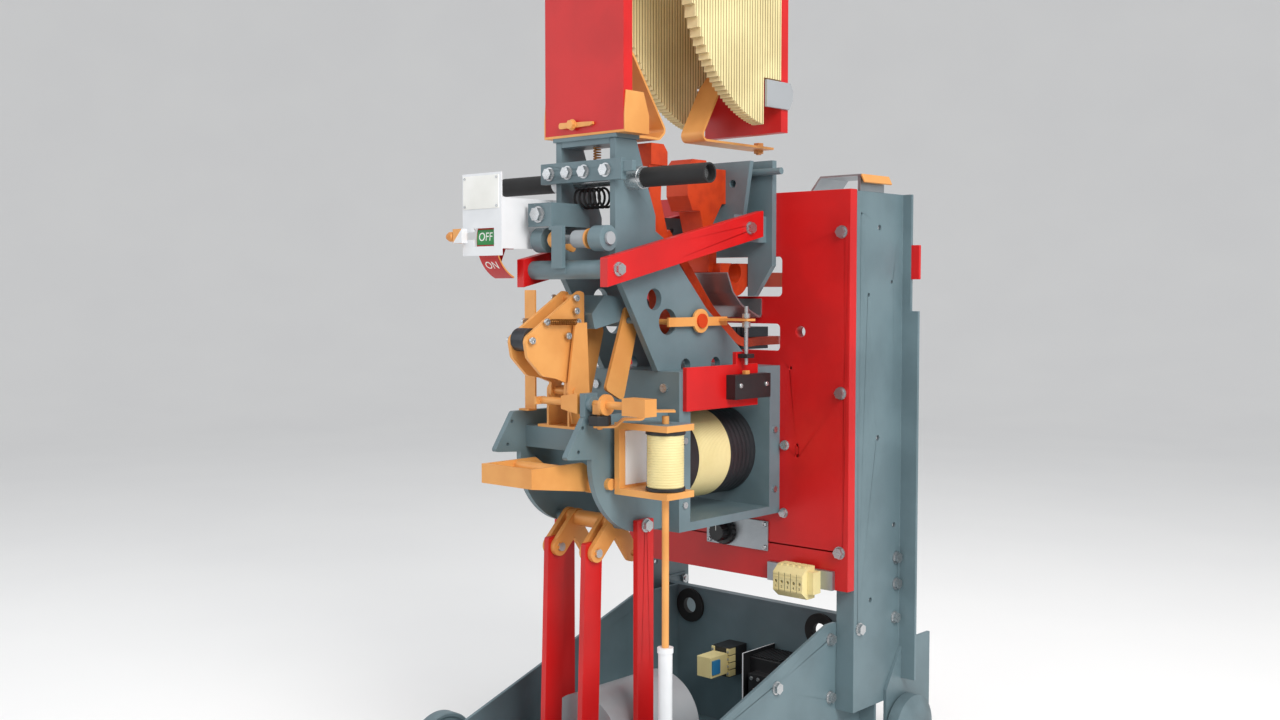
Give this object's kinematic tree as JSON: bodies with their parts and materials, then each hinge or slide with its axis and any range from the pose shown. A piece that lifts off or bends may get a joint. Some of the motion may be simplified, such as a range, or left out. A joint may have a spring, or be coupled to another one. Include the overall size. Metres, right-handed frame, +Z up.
{
  "type": "high-speed circuit breaker",
  "caption": "Withdrawable high-speed circuit breaker on a wheeled truck, with a tall arc chute, open contact and latch gear, and a red insulating panel.",
  "frame": {"origin": "on the floor under the middle of the breaker, halfway across its width and its depth", "axes": "+X to the right of someone facing the latch gear, +Y back through the red panel, +Z up"},
  "size_m": [0.592, 0.815, 1.61],
  "materials": {
    "red_board": "semi-gloss red insulating board",
    "grey_paint": "satin blue-grey paint",
    "zinc_sheet": "plated sheet",
    "zinc_fasteners": "bright plated",
    "dark_steel": "oiled",
    "cast_wheel": "painted casting",
    "orange_chromate": "passivated, satin",
    "copper": "copper with orange-red lacquer",
    "white_enamel": "white enamelled sheet",
    "cream_insulation": "matt cream board",
    "coil_tape": "varnished tape",
    "black_rubber": "matt",
    "black_plastic": "moulded",
    "blue_plastic": "moulded"
  },
  "bodies": {
    "truck": {"panel": "red_board", "insulating_bars": "red_board", "columns": "grey_paint", "base_frame": "grey_paint", "wheel_brackets": "grey_paint", "sheet_brackets": "zinc_sheet", "truck_bolts": "zinc_fasteners", "head_bolts": "zinc_fasteners", "grommets": "black_rubber", "magnet_plates": "grey_paint", "coil_flanges": "coil_tape", "coil_winding": "cream_insulation", "side_frames": "grey_paint", "head_cap": "grey_paint", "handle_bar": "zinc_fasteners", "handle_grips": "black_rubber", "head_fittings": "grey_paint", "indicator_housing": "white_enamel", "contact_frame": "grey_paint", "fixed_contact": "copper", "flexible_connector": "copper", "arc_shields": "zinc_sheet", "jaw_fingers": "dark_steel", "latch_base": "orange_chromate", "front_frame": "grey_paint", "closing_solenoid": "grey_paint", "trip_yoke": "orange_chromate", "trip_coil": "cream_insulation", "microswitch": "black_plastic", "terminal_blocks": "cream_insulation", "control_gear": "black_plastic"},
    "wheel_front_right": {"wheel_front_right": "cast_wheel"},
    "wheel_front_left": {"wheel_front_left": "cast_wheel"},
    "wheel_rear_right": {"wheel_rear_right": "cast_wheel"},
    "wheel_rear_left": {"wheel_rear_left": "cast_wheel"},
    "contact_arm": {"moving_contact": "copper", "aux_lever": "orange_chromate"},
    "stud": {"switch_stud": "zinc_fasteners"},
    "switch_push": {"switch_button": "orange_chromate"},
    "indicator": {"indicator_shaft": "grey_paint", "indicator_drum": "red_board"},
    "drive_lever": {"drive_lever": "orange_chromate"},
    "latch": {"latch_cheeks": "orange_chromate"},
    "roller": {"latch_roller": "dark_steel"},
    "bail": {"bail": "orange_chromate"},
    "bell_crank": {"bell_crank": "orange_chromate"},
    "drive_rods": {"drive_rods": "red_board"},
    "base_crank": {"base_crank": "orange_chromate"},
    "closing_plunger": {"solenoid_plunger": "dark_steel"},
    "trip": {"trip_shaft": "orange_chromate"},
    "trip_nut": {"adjusting_knob": "black_plastic"},
    "trip_rod": {"trip_plunger": "orange_chromate"},
    "chute": {"chute_walls": "red_board", "splitter_plates": "cream_insulation", "arc_horns": "orange_chromate", "chute_base": "orange_chromate"},
    "chute_lock": {"chute_lock": "orange_chromate"},
    "relay_push": {"relay_button": "blue_plastic"},
    "dial": {"rheostat_knob": "black_plastic"},
    "catch": {"catch_knob": "orange_chromate"}
  },
  "joints": [
    {"name": "wheel_front_right_turn", "type": "hinge", "parent": "truck", "child": "wheel_front_right", "pos_m": [0.277, -0.3125, 0.0625], "axis": [1, 0, 0], "continuous": true},
    {"name": "wheel_front_left_turn", "type": "hinge", "parent": "truck", "child": "wheel_front_left", "pos_m": [-0.277, -0.3125, 0.0625], "axis": [1, 0, 0], "continuous": true},
    {"name": "wheel_rear_right_turn", "type": "hinge", "parent": "truck", "child": "wheel_rear_right", "pos_m": [0.277, 0.3145, 0.0625], "axis": [1, 0, 0], "continuous": true},
    {"name": "wheel_rear_left_turn", "type": "hinge", "parent": "truck", "child": "wheel_rear_left", "pos_m": [-0.277, 0.3145, 0.0625], "axis": [1, 0, 0], "continuous": true},
    {"name": "contact_swing", "type": "hinge", "parent": "truck", "child": "contact_arm", "pos_m": [0, -0.036, 0.7976], "axis": [-1, 0, 0], "range_deg": [0, 11.2], "deforming": ["flexible_connector"]},
    {"name": "stud_slide", "type": "slide", "parent": "truck", "child": "stud", "axis": [0, 0, -1], "range_m": [0, 0.0115]},
    {"name": "switch_press", "type": "slide", "parent": "truck", "child": "switch_push", "axis": [0, 0, -1], "range_m": [0, 0.0022]},
    {"name": "indicator_turn", "type": "hinge", "parent": "truck", "child": "indicator", "pos_m": [0, -0.2665, 0.929], "axis": [-1, 0, 0], "range_deg": [0, 42]},
    {"name": "drive_swing", "type": "hinge", "parent": "truck", "child": "drive_lever", "pos_m": [0, -0.1775, 0.8], "axis": [-1, 0, 0], "range_deg": [0, 6]},
    {"name": "latch_swing", "type": "hinge", "parent": "truck", "child": "latch", "pos_m": [0, -0.2875, 0.69], "axis": [1, 0, 0], "range_deg": [0, 8]},
    {"name": "roller_turn", "type": "hinge", "parent": "latch", "child": "roller", "pos_m": [0, -0.3675, 0.773], "axis": [1, 0, 0], "continuous": true},
    {"name": "bail_swing", "type": "hinge", "parent": "truck", "child": "bail", "pos_m": [0, -0.272, 0.549], "axis": [-1, 0, 0], "range_deg": [0, 8]},
    {"name": "crank_swing", "type": "hinge", "parent": "truck", "child": "bell_crank", "pos_m": [0, -0.2225, 0.478], "axis": [1, 0, 0], "range_deg": [0, 8]},
    {"name": "rods_swing", "type": "hinge", "parent": "bell_crank", "child": "drive_rods", "pos_m": [0, -0.2645, 0.436], "axis": [1, 0, 0], "range_deg": [-9.5, 0.5]},
    {"name": "base_crank_swing", "type": "hinge", "parent": "truck", "child": "base_crank", "pos_m": [0, -0.3325, 0.075], "axis": [1, 0, 0], "range_deg": [-6.5, 0.5]},
    {"name": "plunger_pull", "type": "slide", "parent": "truck", "child": "closing_plunger", "axis": [0, 1, 0], "range_m": [0, 0.004]},
    {"name": "trip_swing", "type": "hinge", "parent": "truck", "child": "trip", "pos_m": [0.1, -0.3095, 0.676], "axis": [1, 0, 0], "range_deg": [0, 5]},
    {"name": "trip_nut_turn", "type": "hinge", "parent": "trip", "child": "trip_nut", "pos_m": [0.103, -0.3095, 0.65], "axis": [0, 0, 1], "continuous": true},
    {"name": "trip_rod_lift", "type": "slide", "parent": "truck", "child": "trip_rod", "axis": [0, 0, 1], "range_m": [0, 0.0065]},
    {"name": "chute_lift", "type": "slide", "parent": "truck", "child": "chute", "axis": [0, 0, 1], "range_m": [0, 0.12]},
    {"name": "chute_lock_turn", "type": "hinge", "parent": "chute", "child": "chute_lock", "pos_m": [-0.02, -0.2415, 1.112], "axis": [0, 1, 0], "range_deg": [-60, 60]},
    {"name": "relay_press", "type": "slide", "parent": "truck", "child": "relay_push", "axis": [-1, 0, 0], "range_m": [0, 0.002]},
    {"name": "dial_turn", "type": "hinge", "parent": "truck", "child": "dial", "pos_m": [-0.012, 0.1275, 0.411], "axis": [0, 1, 0], "range_deg": [-140, 140]},
    {"name": "catch_turn", "type": "hinge", "parent": "truck", "child": "catch", "pos_m": [-0.199, -0.3435, 0.936], "axis": [1, 0, 0], "continuous": true}
  ],
  "couplings": [
    {"joint": "stud_slide", "follows": "contact_swing", "m_per_rad": 0.0571},
    {"joint": "switch_press", "follows": "contact_swing", "m_per_rad": 0.0105},
    {"joint": "indicator_turn", "follows": "contact_swing", "ratio": 3.66},
    {"joint": "drive_swing", "follows": "contact_swing", "ratio": 0.5},
    {"joint": "rods_swing", "follows": "crank_swing", "ratio": -1.133},
    {"joint": "base_crank_swing", "follows": "crank_swing", "ratio": -0.7},
    {"joint": "plunger_pull", "follows": "crank_swing", "m_per_rad": 0.0262},
    {"joint": "trip_rod_lift", "follows": "trip_swing", "m_per_rad": 0.072}
  ]
}
